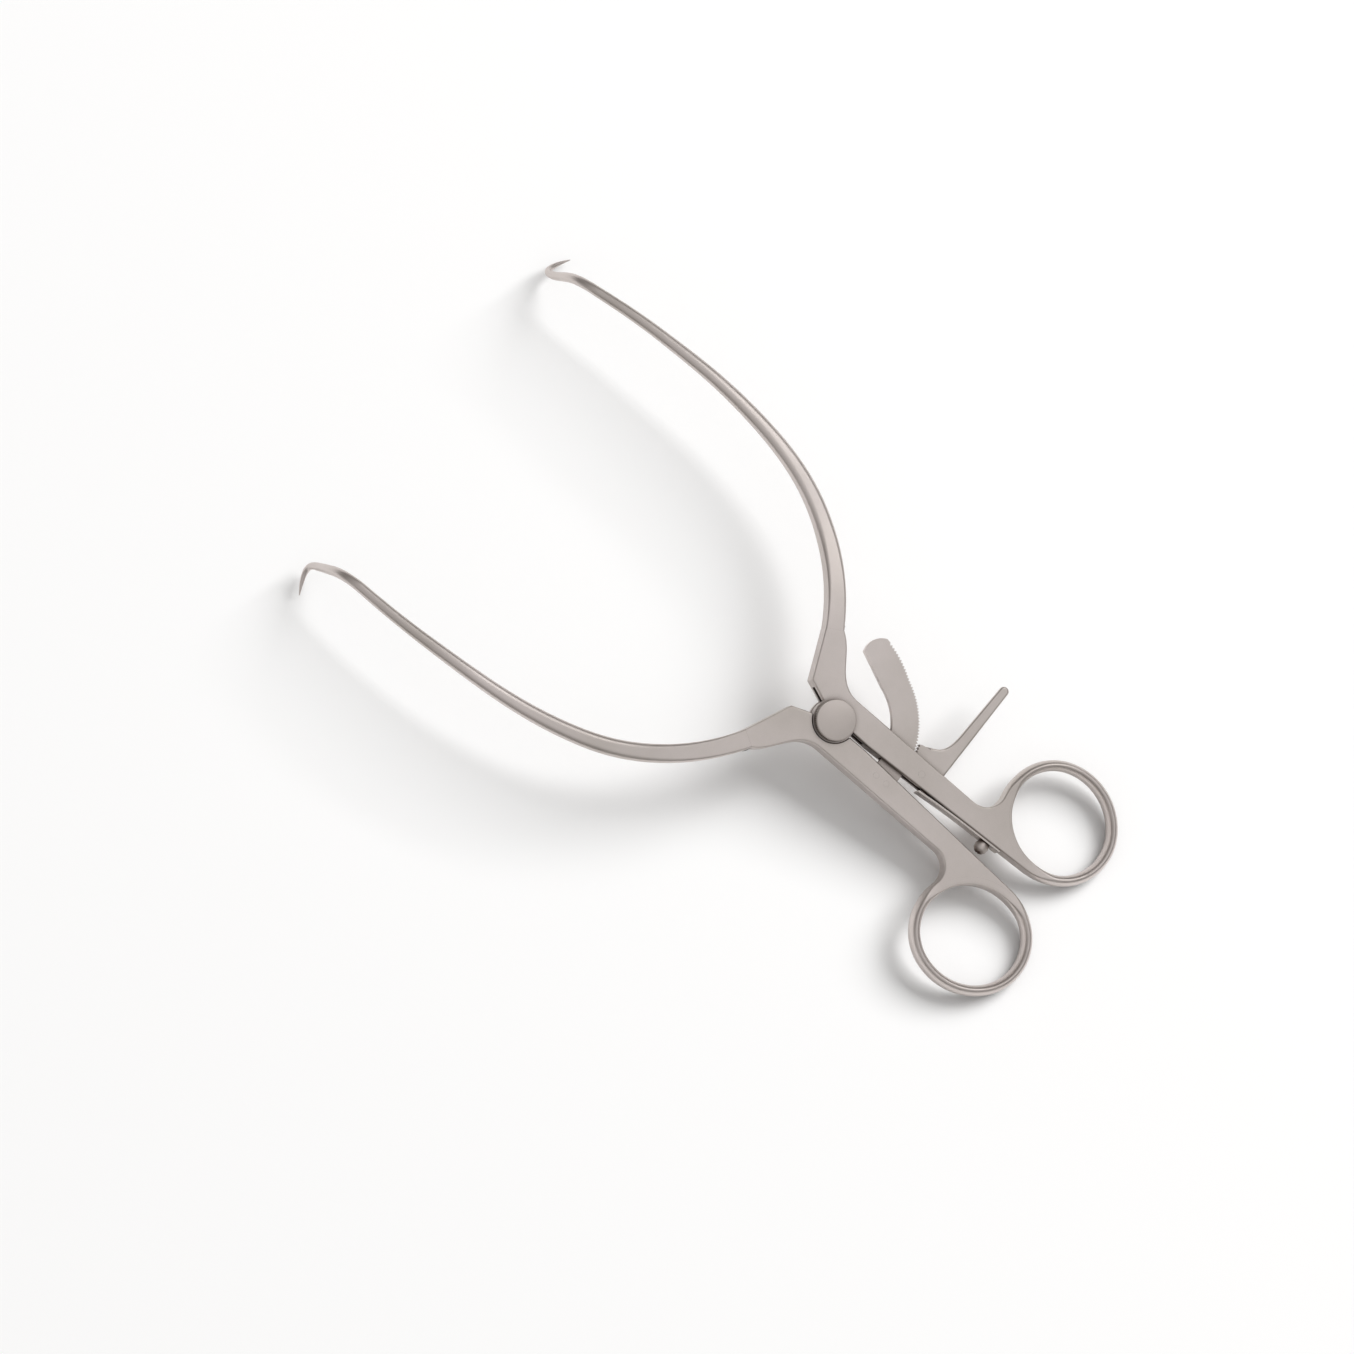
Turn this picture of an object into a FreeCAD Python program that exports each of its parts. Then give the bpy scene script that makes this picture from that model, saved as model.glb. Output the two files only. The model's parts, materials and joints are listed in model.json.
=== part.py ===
import FreeCAD, Part
import math
import os

from FreeCAD import Vector

# Self retaining retractor: two forged halves joined by a box joint, finger rings at one end,
# bowed arms with a single prong at the other, held open by a ratchet bar and a sprung lever.
#
# Frame, in millimetres: the origin is on the pivot axis at the flat underside of the box joint,
# +Z runs up the pivot axis to the knurled head, +X points from the rings to the prongs.
# The tongue half lies on the +Y side and the fork half, its mirror image, on the -Y side.
# The halves stand as far apart as they go: the rings are squeezed together.

# Box joint and shank
plate_height = 4.5
edge_radius = 0.45
tongue_height = 1.6
tongue_play = 0.05
tongue_radius = 5.0
lug_radius = 5.1
lug_gap = 0.25
slot_reach = 8.7
fork_spine = 1.4
shank_outer = 7.0
shank_gap = 1.1
gap_start = 10.0

# Shoulders and neck, seen from above
shoulder_x = 9.8
shoulder_y = 3.85
slant_share = 0.18
neck_start = -1.5
neck_pull = 6.5
neck_bulge = (6.2, 14.6)

# Bowed arm: control points of its centre line, with z counted from the middle of the plate
arm_line = [
    (12.8, 16.2, 0.0),
    (17.6, 24.4, 0.0),
    (28.9, 34.9, -2.5),
    (42.9, 40.8, -3.1),
    (57.0, 43.6, -5.8),
    (69.1, 44.6, -7.2),
    (79.2, 44.8, -9.8),
    (90.8, 44.9, -12.7),
    (100.5, 44.1, -15.8),
]

# Hook and prong: control points of their centre line, from the end of the bow
hook_line = [
    arm_line[-1],
    (105.0, 43.9, -17.3),
    (107.6, 44.0, -23.0),
    (108.8, 43.4, -29.7),
    (111.5, 44.3, -33.4),
    (107.6, 50.4, -33.9),
]

# The arm grows out of the neck's end face, set in by a small step all round
arm_width = 4.5
arm_step = 0.04
arm_overlap = 0.5

# Sections: share of the length, width, height and share of full rounding
arm_sections = [
    (0.00, arm_width - 2 * arm_step, plate_height - 2 * arm_step, 0.22),
    (0.10, 4.3, 4.3, 0.35),
    (0.25, 4.15, 3.8, 0.60),
    (0.45, 3.75, 3.3, 0.80),
    (0.65, 3.25, 2.9, 0.92),
    (0.85, 2.7, 2.4, 0.96),
    (1.00, 2.4, 2.3, 0.96),
]
hook_sections = [
    (0.00, 2.4, 2.3, 0.96),
    (0.35, 2.2, 2.2, 0.96),
    (0.60, 1.9, 1.9, 0.96),
    (0.75, 1.5, 1.5, 0.96),
    (0.88, 1.05, 1.05, 0.96),
    (1.00, 0.2, 0.2, 0.96),
]
arm_stations = 10
hook_stations = 16

# Finger ring: centre, half axes of its centre line and its turn from the X axis
ring_x = -55.5
ring_long = 13.4
ring_short = 12.4
ring_turn = 16.0
ring_width = 2.5
ring_height = 5.1
ring_apart = 2.95
ring_y = ring_apart + ring_width / 2 + ring_short
ring_sides = 12
ring_lap = 0.02
web_radius = 4.8

# Pivot screw
screw_radius = 2.2
screw_fit = 0.05
screw_end = 0.0
head_radius = 4.75
head_rim = 1.6
head_chamfer = 0.2
head_dome = 0.55
head_seat = 0.05
knurl_count = 40
knurl_depth = 0.16
knurl_root = 0.05
knurl_step = 0.1

# Ratchet bar
bar_height = 1.6
mortise_play = 0.1
bar_inner = 14.1
tooth_tip = 20.6
tooth_depth = 0.35
tooth_pitch = 2.0
tooth_count = 44
tooth_first = 185.0
tooth_flank = 0.9
tooth_land = 0.15
bar_straight = 246.0
bar_flare = 2.3
bar_flare_power = 1.2
bar_end_outer = 274.4
bar_end_crown = (21.35, 280.5)
bar_end_inner = (17.7, 283.7)
bar_inner_end = 252.0
bar_root_depth = 5.6
bar_seat = 0.02
rivet_radius = 0.7
rivet_y = 3.3
rivet_inset = 1.6
rivet_fit = 0.01

# Release lever, seen from above as the fork half lies, with its outer edge at rest
lever_pin_x = -23.4
lever_pin_y = -3.8
lever_pin_radius = 0.8
lever_pin_fit = 0.05
lever_lift = 6.0
pawl_teeth = 4
pawl_last = 205.0
pawl_play = 0.06
pawl_rise = 0.5
pawl_run = 0.4
heel_radius = 0.8
heel_x = -26.6
thumb_tip_y = -32.65
thumb_front_x = -25.7
thumb_rear_x = -27.95
thumb_back_y = -6.5
# Points of its outline, counted from the pin: the throat under the teeth, and the crown over the pin
lever_throat = [(1.8, -6.55), (-0.5, -8.1), (-1.7, -11.0), (-1.9, -13.7)]
lever_crown = [(0.1, 1.75), (1.4, 1.2), (1.8, -1.4)]
mortise_end = -31.0
mortise_start_gap = 0.3

# Leaf spring and its screw
spring_thick = 0.45
spring_width = 3.6
spring_off_ring = 6.9
spring_foot = 7.6
spring_foot_x = ring_x + spring_off_ring
spring_bend_x = spring_foot_x + spring_foot
spring_free_x = -25.2
spring_rise = 0.55
spring_seat = 0.02
spring_push = 0.03
spring_screw_x = spring_foot_x + spring_foot / 2
spring_screw_radius = 0.7
spring_screw_depth = 4.0
spring_head_radius = 1.7
spring_head_sunk = 0.5
spring_slot = 0.4
spring_hole_play = 0.05

middle = plate_height / 2
cheek_height = (plate_height - tongue_height) / 2 - tongue_play
relief_radius = lug_radius + lug_gap
big = 200.0


def turned(point, centre, degrees):
    """A point turned about a centre in the plan view."""
    angle = math.radians(degrees)
    dx, dy = point[0] - centre[0], point[1] - centre[1]
    return (
        centre[0] + dx * math.cos(angle) - dy * math.sin(angle),
        centre[1] + dx * math.sin(angle) + dy * math.cos(angle),
    )


def polar(radius, degrees):
    """A plan point at a distance and direction from the pivot axis."""
    return (radius * math.cos(math.radians(degrees)), radius * math.sin(math.radians(degrees)))


def flat(point, z=0.0):
    """A plan point as a vector."""
    return Vector(point[0], point[1], z)


def chain(points):
    """Straight edges through plan points."""
    return [Part.LineSegment(flat(a), flat(b)).toShape() for a, b in zip(points, points[1:])]


def smooth(points, start, end):
    """One smooth plan edge through points, with its end directions given."""
    curve = Part.BSplineCurve()
    curve.interpolate([flat(p) for p in points], InitialTangent=flat(start), FinalTangent=flat(end))
    return curve.toShape()


def prism(edges, low, high):
    """A closed plan outline made a solid between two heights."""
    face = Part.Face(Part.Wire(Part.sortEdges(edges)[0]))
    face.translate(Vector(0, 0, low))
    return face.extrude(Vector(0, 0, high - low))


def drum(radius, low, high, centre=(0.0, 0.0)):
    """An upright cylinder."""
    return Part.makeCylinder(radius, high - low, flat(centre, low))


def rounded(solid, radius, pick):
    """A solid with the edges that pick chooses rounded."""
    return solid.makeFillet(radius, [edge for edge in solid.Edges if pick(edge)])


def ring_arcs(offset):
    """The ring's oval as four arcs, grown by an offset: centre, radius, first and last angle."""
    long, short, turn = ring_long, ring_short, ring_turn
    if short > long:
        long, short, turn = short, long, turn + 90
    spare = long - short
    join = math.degrees(math.atan2(2.0, 1.5))
    arcs = []
    for end in (turn, turn + 180):
        tight, wide = polar(1.5 * spare, end), polar(2 * spare, end - 90)
        arcs.append((tight, short - spare / 2 + offset, end - join, end + join))
        arcs.append((wide, short + 2 * spare + offset, end + join, end + 180 - join))
    return [((x + ring_x, y + ring_y), radius, first, last) for (x, y), radius, first, last in arcs]


def ring_edges(offset):
    """The ring's outline in the plan, grown by an offset from its centre line."""
    return [Part.ArcOfCircle(Part.Circle(flat(centre), Vector(0, 0, 1), radius),
                             math.radians(first), math.radians(last)).toShape()
            for centre, radius, first, last in ring_arcs(offset)]


def ring_tangent():
    """Where the straight inner face of the shank runs onto the ring's outline."""
    start = Vector(-gap_start, shank_gap / 2, 0)
    points = [point for edge in ring_edges(ring_width / 2) for point in edge.discretize(240)]
    near = [point for point in points if point.x < ring_x + ring_short / 2]
    return min(near, key=lambda point: (point.y - start.y) / (start.x - point.x))


def web_fillet():
    """The arc that leads from the shank's outer face onto the ring's outline."""
    outline = Part.Wire(ring_edges(ring_width / 2))
    near, far = ring_x + ring_long, 0.0
    for _ in range(40):
        x = (near + far) / 2
        centre = Vector(x, shank_outer + web_radius, 0)
        distance, pairs, _ = outline.distToShape(Part.Vertex(centre))
        if distance < web_radius:
            near = x
        else:
            far = x
    on_ring = pairs[0][0]
    on_shank = Vector(x, shank_outer, 0)
    between = (on_ring - centre).normalize() + (on_shank - centre).normalize()
    return on_shank, centre + between.normalize() * web_radius, on_ring


def size_at(table, share):
    """Sizes at a share of a length, between two rows of a table."""
    for low, high in zip(table, table[1:]):
        if share <= high[0]:
            part = (share - low[0]) / (high[0] - low[0])
            return [a + part * (b - a) for a, b in zip(low[1:], high[1:])]
    return list(table[-1][1:])


def section_wire(place, along, side, width, height, rounding):
    """A rectangle with its corners rounded by short flats, square to the arm's centre line."""
    up = side.cross(along)
    radius = rounding * min(width, height) / 2
    half_w, half_h = width / 2 - radius, height / 2 - radius
    points = []
    for index, (sx, sy) in enumerate([(1, 1), (-1, 1), (-1, -1), (1, -1)]):
        for turn in (0, 45, 90):
            offset = polar(radius, 90 * index + turn)
            points.append(place + side * (sx * half_w + offset[0]) + up * (sy * half_h + offset[1]))
    return Part.makePolygon(points + points[:1])


def spline(points):
    """A smooth line drawn by control points, which it meets only at its ends."""
    degree = 3
    knots = len(points) - degree + 1
    multiplicities = [degree + 1] + [1] * (knots - 2) + [degree + 1]
    curve = Part.BSplineCurve()
    curve.buildFromPolesMultsKnots([Vector(x, y, z + middle) for x, y, z in points],
                                   multiplicities, list(range(knots)), False, degree)
    return curve


def arm_solid():
    """Bowed arm with its hook and prong: one loft for the bow and one for the hook."""
    solid, side = None, None
    for line, sizes, stations, overlap in ((arm_line, arm_sections, arm_stations, arm_overlap),
                                           (hook_line, hook_sections, hook_stations, 0.0)):
        curve = spline(line)
        wires = []
        for index in range(stations + 1):
            share = index / stations
            parameter = curve.parameterAtDistance(curve.length() * share, curve.FirstParameter)
            place, along = curve.value(parameter), curve.tangent(parameter)[0]
            if side is None:
                side = along.cross(Vector(0, 0, 1))
            if index == 0:
                place = place - along * overlap
            side = (side - along * side.dot(along)).normalize()
            wires.append(section_wire(place, along, side, *size_at(sizes, share)))
        length = Part.makeLoft(wires, True, line is hook_line)
        solid = length if solid is None else solid.fuse(length)
    return solid


def plate_solid():
    """Neck, shoulder, shank and web: the flat part of a half, on the +Y side."""
    start = Vector(*arm_line[0])
    along = (Vector(*arm_line[1]) - start).normalize()
    half = arm_width / 2
    outer = (start.x - along.y * half, start.y + along.x * half)
    inner = (start.x + along.y * half, start.y - along.x * half)
    on_shank, on_arc, on_ring = web_fillet()
    tangent = ring_tangent()
    neck_end = (neck_start, shank_outer)
    slant_end = (slant_share * shoulder_x, slant_share * shoulder_y)

    neck = Part.BezierCurve()
    neck.setPoles([flat(neck_end), flat((neck_start + neck_pull, shank_outer)), flat(neck_bulge), flat(outer)])
    edges = [neck.toShape()] + chain([outer, inner, (shoulder_x, shoulder_y)])
    edges += chain([(shoulder_x, shoulder_y), slant_end, (-gap_start, shank_gap / 2)])
    edges += chain([(-gap_start, shank_gap / 2), (tangent.x, tangent.y), (ring_x, ring_y)])
    edges += chain([(ring_x, ring_y), (on_ring.x, on_ring.y)])
    edges.append(Part.Arc(on_ring, on_arc, on_shank).toShape())
    edges += chain([(on_shank.x, on_shank.y), neck_end])
    plate = prism(edges, 0, plate_height)

    def is_rim(edge):
        box = edge.BoundBox
        at_face = box.ZLength < 0.01
        middle_point = edge.valueAt((edge.FirstParameter + edge.LastParameter) / 2)
        at_arm = (middle_point - (start + Vector(0, 0, middle_point.z))).Length < half / 2
        in_ring = math.hypot(middle_point.x - ring_x, middle_point.y - ring_y) < ring_short * 0.7
        near_pivot = math.hypot(middle_point.x, middle_point.y) < relief_radius * 0.6
        return at_face and not at_arm and not in_ring and not near_pivot

    return rounded(plate, edge_radius, is_rim)


def ring_solid():
    """Finger ring: a tall section, rounded by flats, turned round each of the oval's four arcs."""
    section = [(ring_width / 2 * math.cos(turn), ring_height / 2 * math.sin(turn))
               for turn in (2 * math.pi * side / ring_sides for side in range(ring_sides))]
    ring = None
    for centre, radius, first, last in ring_arcs(0.0):
        outward = flat(polar(1.0, first))
        points = [flat(centre, middle + up) + outward * (radius + out) for out, up in section]
        face = Part.Face(Part.makePolygon(points + points[:1]))
        length = face.revolve(flat(centre), Vector(0, 0, 1), last - first)
        ring = length if ring is None else ring.fuse(length)
    return ring


def half_blank():
    """One forged half before its joint is cut, on the +Y side."""
    plate = plate_solid()
    opening = prism(ring_edges(-ring_width / 2 + ring_lap), -1, plate_height + 1)
    blank = plate.cut(opening).fuse(ring_solid()).fuse(arm_solid())
    return blank.removeSplitter()


def bar_edge(angle):
    """Radius of the tooth tips at an angle: even where the pawl runs, then flared to the free end."""
    share = max(0.0, angle - bar_straight) / (bar_end_outer - bar_straight)
    return tooth_tip + bar_flare * share ** bar_flare_power


def tooth_points(index, play=0.0):
    """Root, rise and land of one tooth of the bar; play sets them outward for the pawl."""
    angle = tooth_first + index * tooth_pitch
    steps = ((0.0, tooth_depth), (tooth_flank, 0.0), (tooth_flank + tooth_land, 0.0))
    return [polar(bar_edge(angle + step) - depth + play, angle + step) for step, depth in steps]


def bar_outline():
    """Plan outline of the ratchet bar: toothed outer edge, plain inner edge, flared free end."""
    points = [point for index in range(tooth_count) for point in tooth_points(index)]
    root = tooth_tip - tooth_depth
    end_outer = polar(bar_edge(bar_end_outer), bar_end_outer)
    end_inner, inner_start = polar(*bar_end_inner), polar(bar_inner, bar_inner_end)
    root_outer = (-math.sqrt(root ** 2 - bar_root_depth ** 2), bar_root_depth)
    root_inner = (-math.sqrt(bar_inner ** 2 - bar_root_depth ** 2), bar_root_depth)
    edges = chain(points + [end_outer])
    edges.append(Part.Arc(flat(end_outer), flat(polar(*bar_end_crown)), flat(end_inner)).toShape())
    edges += chain([end_inner, inner_start])
    edges.append(Part.Arc(flat(inner_start), flat(polar(bar_inner, 210.0)), flat(root_inner)).toShape())
    edges += chain([root_inner, root_outer])
    edges.append(Part.Arc(flat(root_outer), flat(polar(root, 172.0)), flat(points[0])).toShape())
    return edges


def upright(centre, radius, clearance=0.0):
    """A pin, or its hole with a clearance, right through the plate."""
    return drum(radius + clearance, 0, plate_height, centre)


def bar_solid():
    """The ratchet bar, fixed in the tongue half."""
    bar = prism(bar_outline(), middle - bar_height / 2, middle + bar_height / 2)
    for centre in rivet_places():
        bar = bar.cut(upright(centre, rivet_radius, rivet_fit))
    return bar


def rivet_places():
    """Plan places of the two rivets in the root of the ratchet bar."""
    inner = bar_inner + rivet_inset
    outer = tooth_tip - tooth_depth - rivet_inset
    return [(-math.sqrt(radius ** 2 - rivet_y ** 2), rivet_y) for radius in (inner, outer)]


def band(inner, outer, low, high):
    """A ring of metal about the pivot axis."""
    return drum(outer, low, high).cut(drum(inner, low, high))


def tongue_half(blank):
    """Tongue, relief for the fork's lug, bore, and the blind mortise of the ratchet bar."""
    body = blank
    for low, high in ((-1, cheek_height + 2 * tongue_play), (plate_height - cheek_height - 2 * tongue_play,
                                                          plate_height + 1)):
        body = body.cut(drum(relief_radius, low, high))
    low, high = middle - tongue_height / 2, middle + tongue_height / 2
    body = body.fuse(drum(tongue_radius, low, high))
    body = body.cut(drum(screw_radius + screw_fit, -1, plate_height + 1))
    low, high = middle - bar_height / 2 - bar_seat, middle + bar_height / 2 + bar_seat
    pocket = band(bar_inner - bar_seat, tooth_tip - tooth_depth + bar_seat, low, high)
    block = Part.makeBox(big, bar_root_depth + bar_seat, big, Vector(-big, 0, -big / 2))
    body = body.cut(pocket.common(block))
    for centre in rivet_places():
        body = body.cut(upright(centre, rivet_radius, rivet_fit))
    return body.removeSplitter()


def lever_outline():
    """Plan outline of the release lever at rest, with the pawl teeth just clear of the bar."""
    pin = (lever_pin_x, lever_pin_y)
    last_tooth = round((pawl_last - tooth_first) / tooth_pitch)
    meshed = [point for index in range(last_tooth - pawl_teeth, last_tooth)
              for point in tooth_points(index, pawl_play)]
    meshed.append(tooth_points(last_tooth, pawl_play)[0])
    meshed.append(polar(tooth_tip + pawl_rise, pawl_last + pawl_run))
    teeth = [turned(p, pin, -lever_lift) for p in meshed]
    nose = (heel_x, heel_face() - heel_radius)
    back = (thumb_rear_x - 0.1, thumb_back_y)
    tip_radius = (thumb_front_x - thumb_rear_x) / 2
    tip = ((thumb_front_x + thumb_rear_x) / 2, thumb_tip_y + tip_radius)

    edges = chain(teeth)
    throat = [(pin[0] + x, pin[1] + y) for x, y in lever_throat]
    crown = [(pin[0] + x, pin[1] + y) for x, y in lever_crown]
    edges.append(smooth([teeth[-1]] + throat, (-0.85, -0.4), (-0.05, -1)))
    edges += chain([throat[-1], (thumb_front_x, tip[1])])
    edges.append(Part.Arc(Vector(thumb_front_x, tip[1], 0), Vector(tip[0], thumb_tip_y, 0),
                          Vector(thumb_rear_x, tip[1], 0)).toShape())
    edges += chain([(thumb_rear_x, tip[1]), back, (nose[0] - heel_radius, nose[1])])
    edges.append(Part.Arc(Vector(nose[0] - heel_radius, nose[1], 0), Vector(nose[0], nose[1] + heel_radius, 0),
                          Vector(nose[0] + heel_radius, nose[1], 0)).toShape())
    edges += chain([(nose[0] + heel_radius, nose[1])] + crown + [teeth[0]])
    return edges


def shank_face(x):
    """Distance of the fork shank's straight inner face from the centre plane, as a signed Y."""
    tangent = ring_tangent()
    slope = (tangent.y - shank_gap / 2) / (tangent.x + gap_start)
    return -(shank_gap / 2 + slope * (x + gap_start))


def spring_path():
    """Centre line of the leaf spring: flat foot, then a gentle bow off the shank."""
    lift = spring_seat + spring_thick / 2
    foot = Vector(spring_foot_x, shank_face(spring_foot_x) + lift, 0)
    bend = Vector(spring_bend_x, shank_face(spring_bend_x) + lift, 0)
    along = (bend - foot).normalize()
    run = spring_free_x - spring_bend_x
    free = bend + along * run + Vector(-along.y, along.x, 0) * spring_rise
    chord = free - bend
    angle = math.acos(along.dot(chord) / chord.Length)
    radius = chord.Length / (2 * math.sin(angle))
    centre = bend + Vector(-along.y, along.x, 0) * radius
    mid = centre + ((bend + free) * 0.5 - centre).normalize() * radius
    return foot, bend, mid, free


def heel_face():
    """Y of the lever's heel where it bears on the leaf spring."""
    foot, bend, mid, free = spring_path()
    arc = Part.Arc(bend, mid, free).toShape()
    probe = Part.LineSegment(Vector(heel_x, -big, 0), Vector(heel_x, big, 0)).toShape()
    point = arc.distToShape(probe)[1][0][0]
    return point.y - spring_thick / 2 - spring_push


def spring_solid():
    """The leaf spring, a strip on edge."""
    foot, bend, mid, free = spring_path()
    spine = Part.Wire([Part.LineSegment(foot, bend).toShape(), Part.Arc(bend, mid, free).toShape()])
    along = (bend - foot).normalize()
    across = Vector(-along.y, along.x, 0) * (spring_thick / 2)
    tall = Vector(0, 0, spring_width / 2)
    corners = [foot + across + tall, foot - across + tall, foot - across - tall, foot + across - tall]
    section = Part.makePolygon(corners + corners[:1])
    strip = spine.makePipeShell([section], True, True)
    strip.translate(Vector(0, 0, middle))
    hole = Part.makeCylinder(spring_screw_radius + spring_hole_play, 4, spring_screw_place(-2), face_normal())
    return strip.cut(hole)


def face_normal():
    """Direction in which the fork shank's inner face looks."""
    first, second = -20.0, -40.0
    along = Vector(first - second, shank_face(first) - shank_face(second), 0).normalize()
    return Vector(-along.y, along.x, 0)


def spring_screw_place(outward):
    """A point on the spring screw's axis, a distance off the shank's inner face."""
    return Vector(spring_screw_x, shank_face(spring_screw_x), middle) + face_normal() * outward


def spring_screw_solid():
    """Round-head screw: head turned from a few cones, with a slot, and its shaft."""
    seat = spring_seat + spring_thick
    rise = 2 * spring_head_radius - spring_head_sunk
    profile = [(0.0, seat)]
    for turn in (-40, -5, 25, 55, 80):
        radius, height = polar(spring_head_radius, turn)
        profile.append((radius, seat + height + spring_head_radius - spring_head_sunk))
    profile[1] = (profile[1][0], seat)
    profile.append((0.0, seat + rise))
    corners = [Vector(radius, 0, height) for radius, height in profile]
    head = Part.Face(Part.makePolygon(corners + corners[:1])).revolve(Vector(0, 0, 0), Vector(0, 0, 1), 360)
    slot = Part.makeBox(4 * spring_head_radius, spring_slot, 2 * spring_slot,
                        Vector(-2 * spring_head_radius, -spring_slot / 2, seat + rise - spring_slot))
    shaft = Part.makeCylinder(spring_screw_radius, spring_screw_depth + seat, Vector(0, 0, -spring_screw_depth))
    screw = head.cut(slot).fuse(shaft).removeSplitter()
    screw.rotate(Vector(0, 0, 0), Vector(0, 0, 1), 90)
    turn = FreeCAD.Rotation(Vector(0, 0, 1), face_normal())
    screw.Placement = FreeCAD.Placement(spring_screw_place(0.0), turn).multiply(screw.Placement)
    return screw


def fork_half(blank):
    """Lug, slot for the tongue, bores, and the mortise for ratchet bar and lever."""
    body = blank.fuse(drum(lug_radius, 0, plate_height))
    low, high = cheek_height, plate_height - cheek_height
    slot = drum(slot_reach, low, high)
    keep = Part.makeBox(big, shank_outer - fork_spine + big, big,
                        Vector(-big / 2, -(shank_outer - fork_spine), -big / 2))
    body = body.cut(slot.common(keep))
    body = body.cut(drum(screw_radius + screw_fit, -1, plate_height + 1))
    low, high = middle - bar_height / 2 - mortise_play, middle + bar_height / 2 + mortise_play
    length = -mortise_end
    mortise = Part.makeBox(length, big, high - low, Vector(mortise_end, -big / 2, low))
    mortise = mortise.cut(drum(bar_inner - mortise_start_gap, low, high))
    body = body.cut(mortise)
    body = body.cut(upright((lever_pin_x, lever_pin_y), lever_pin_radius, rivet_fit))
    body = body.cut(Part.makeCylinder(spring_screw_radius + rivet_fit, spring_screw_depth + 1,
                                      spring_screw_place(-spring_screw_depth), face_normal()))
    return body.removeSplitter()


def lever_solid():
    """Release lever with its pawl teeth, pin hole and thumb bar."""
    lever = prism(lever_outline(), middle - bar_height / 2, middle + bar_height / 2)
    return lever.cut(upright((lever_pin_x, lever_pin_y), lever_pin_radius, lever_pin_fit))


def screw_solid():
    """Pivot screw: plain shank and a domed head with a knurled rim."""
    seat = plate_height + head_seat
    top = seat + head_rim
    core = head_radius - knurl_depth - knurl_root
    points = [polar(head_radius - (knurl_depth if index % 2 else 0.0), 180.0 * index / knurl_count)
              for index in range(2 * knurl_count)]
    edge = head_chamfer + knurl_step
    rim = prism(chain(points + points[:1]), seat + edge, top - edge)
    profile = [(0.0, seat), (core - head_chamfer, seat), (core, seat + head_chamfer),
               (core, top - head_chamfer), (core - head_chamfer, top)]
    edges = [Part.LineSegment(Vector(a[0], 0, a[1]), Vector(b[0], 0, b[1])).toShape()
             for a, b in zip(profile, profile[1:])]
    crown, reach = Vector(0, 0, top + head_dome), core - head_chamfer
    sphere = (reach ** 2 + head_dome ** 2) / (2 * head_dome)
    sag = sphere - math.sqrt(sphere ** 2 - (reach / 2) ** 2)
    edges.append(Part.Arc(Vector(reach, 0, top), crown + Vector(reach / 2, 0, -sag), crown).toShape())
    edges.append(Part.LineSegment(crown, Vector(0, 0, seat)).toShape())
    core_solid = Part.Face(Part.Wire(edges)).revolve(Vector(0, 0, 0), Vector(0, 0, 1), 360)
    return core_solid.fuse(rim).fuse(drum(screw_radius, screw_end, seat)).removeSplitter()


blank = half_blank()
pieces = {
    "tongue_arm": tongue_half(blank),
    "fork_arm": fork_half(blank.mirror(Vector(0, 0, 0), Vector(0, 1, 0))),
    "pivot_screw": screw_solid(),
    "ratchet_bar": bar_solid(),
    "release_lever": lever_solid(),
    "lever_pin": upright((lever_pin_x, lever_pin_y), lever_pin_radius),
    "leaf_spring": spring_solid(),
    "spring_screw": spring_screw_solid(),
}
for place, name in zip(rivet_places(), ("ratchet_rivet_front", "ratchet_rivet_rear")):
    pieces[name] = upright(place, rivet_radius)

os.makedirs("parts", exist_ok=True)
for name, shape in pieces.items():
    shape.exportStep(os.path.join("parts", name + ".step"))
    print(name, len(shape.Solids), shape.isValid(), round(shape.Volume, 2), len(shape.Faces))
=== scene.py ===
"""Looks of a self retaining retractor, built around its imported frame.

The frame is in metres: the origin is on the pivot axis at the flat underside of the box joint, +Z runs
up the pivot axis to the knurled head and +X points from the finger rings to the prongs. The tongue half
lies on the +Y side and the fork half on the -Y side.
"""

import json
import logging
import math
from collections.abc import Callable, Iterator
from contextlib import contextmanager
from dataclasses import dataclass, field
from enum import Enum

import bmesh
import bpy
from mathutils import Matrix, Vector


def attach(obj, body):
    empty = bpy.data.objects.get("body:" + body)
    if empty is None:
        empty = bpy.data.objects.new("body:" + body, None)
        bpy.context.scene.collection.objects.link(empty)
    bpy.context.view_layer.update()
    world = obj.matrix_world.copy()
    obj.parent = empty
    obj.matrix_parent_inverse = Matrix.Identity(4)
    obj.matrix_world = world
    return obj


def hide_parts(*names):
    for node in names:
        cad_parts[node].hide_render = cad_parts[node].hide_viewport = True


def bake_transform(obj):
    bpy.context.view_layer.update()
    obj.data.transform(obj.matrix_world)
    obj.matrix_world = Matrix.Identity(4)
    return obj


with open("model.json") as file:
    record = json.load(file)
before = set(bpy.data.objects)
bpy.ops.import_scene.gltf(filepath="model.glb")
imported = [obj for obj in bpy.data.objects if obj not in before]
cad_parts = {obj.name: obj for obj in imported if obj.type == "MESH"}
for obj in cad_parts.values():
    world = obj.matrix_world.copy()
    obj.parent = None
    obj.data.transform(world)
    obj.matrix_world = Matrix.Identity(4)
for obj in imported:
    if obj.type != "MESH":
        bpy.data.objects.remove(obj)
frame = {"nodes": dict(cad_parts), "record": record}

log = logging.getLogger("retractor")
MM = 0.001
# A face is level when its normal's height is more than LEVEL, and upright when it is less than UPRIGHT
LEVEL = 0.9
UPRIGHT = 0.1
# How much a large face bends the shading of its neighbours to its own
FLAT_WEIGHT = 60
# Points of a mesh are merged within this many millimetres
MERGE_REACH = 0.002
# Steps of each section's corners, and millimetres that its points may lie off its plane and past them
SECTION_CORNER_STEPS = 6
SECTION_FLATNESS = 0.0004
SECTION_MARGIN = 0.01
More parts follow.
